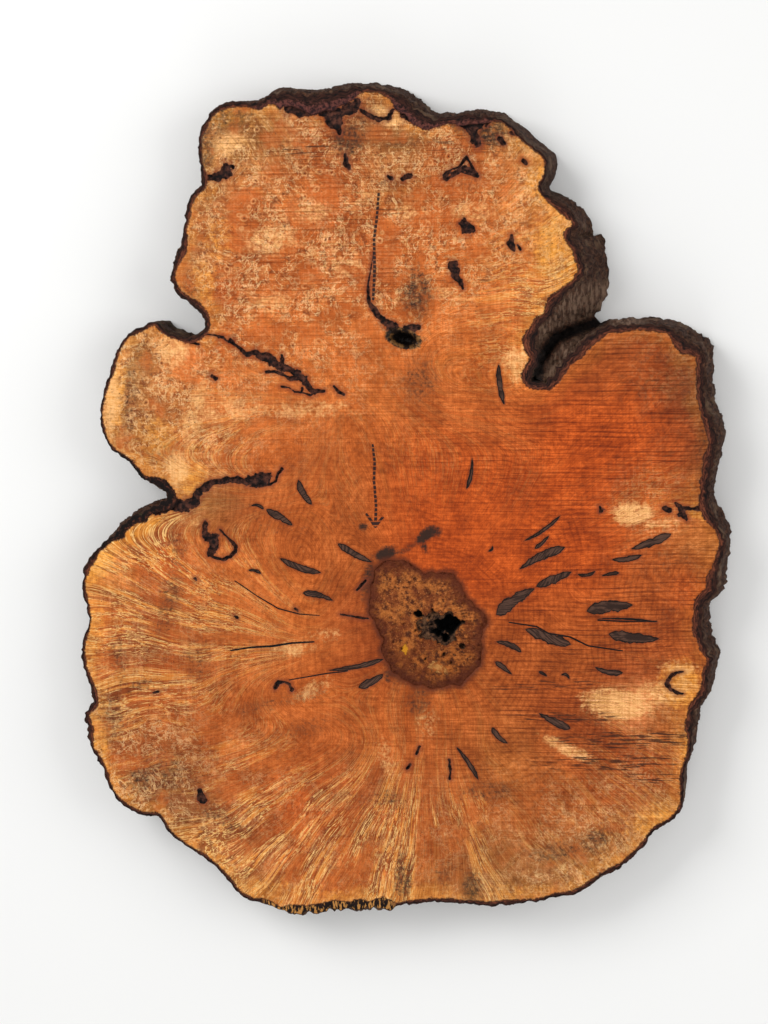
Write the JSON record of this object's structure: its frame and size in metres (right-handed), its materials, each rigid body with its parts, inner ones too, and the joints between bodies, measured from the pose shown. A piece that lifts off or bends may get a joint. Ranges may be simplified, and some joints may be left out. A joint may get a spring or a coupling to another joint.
{
  "type": "maple burl slab",
  "caption": "Live-edge slab sawn across a maple burl: two flat sawn faces, lobed bark edge all round and a hollow rotten heart.",
  "frame": {"origin": "under the middle of the slab's bounding box, on the plane of the sawn back face that the slab lies on", "axes": "+Z through the thickness, out of the sawn front face; +Y along the length, towards the small top lobe; +X across the width"},
  "size_m": [0.9634, 1.233, 0.076],
  "materials": {
    "sawn_wood": "sawn and wetted, satin",
    "bark": "rough, matt",
    "rotten_heart": "crumbly, matt"
  },
  "bodies": {
    "root": {"maple_burl": "sawn_wood"}
  },
  "joints": []
}
